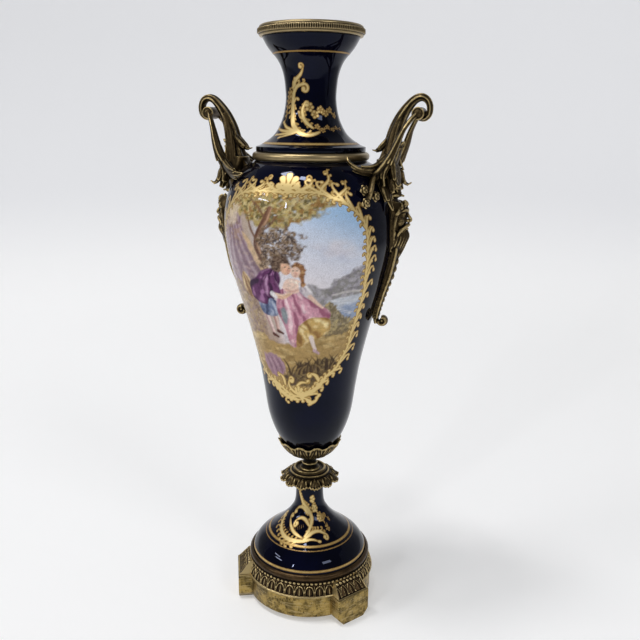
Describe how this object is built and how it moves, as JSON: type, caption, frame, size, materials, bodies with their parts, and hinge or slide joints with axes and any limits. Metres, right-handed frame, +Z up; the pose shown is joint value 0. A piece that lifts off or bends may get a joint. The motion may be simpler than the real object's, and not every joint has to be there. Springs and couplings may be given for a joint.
{
  "type": "mantel urn",
  "caption": "Tall baluster vase of dark glazed porcelain with a painted panel, in gilt-bronze mounts: footed plinth, leaf collar, shoulder ring, rim and scrolled handles; stands on a shelf.",
  "frame": {"origin": "centre of the underside, on the floor under the vertical axis", "axes": "+Z up along the axis; the painted front looks along -Y; the handles stand at +X and -X"},
  "size_m": [0.198, 0.1436, 0.5],
  "materials": {
    "cobalt_porcelain": "high-gloss dark cobalt glaze with gilding and a painted panel",
    "antique_bronze": "antique gilt bronze, dark in the recesses and rubbed bright on the high points",
    "bright_bronze": "gilt bronze, lightly scratched and worn"
  },
  "bodies": {
    "root": {"plinth": "bright_bronze", "socle": "cobalt_porcelain", "collar": "antique_bronze", "stem_cup": "antique_bronze", "body": "cobalt_porcelain", "shoulder_ring": "bright_bronze", "neck": "cobalt_porcelain", "rim_ring": "bright_bronze", "handle_right": "antique_bronze", "handle_left": "antique_bronze"}
  },
  "joints": []
}
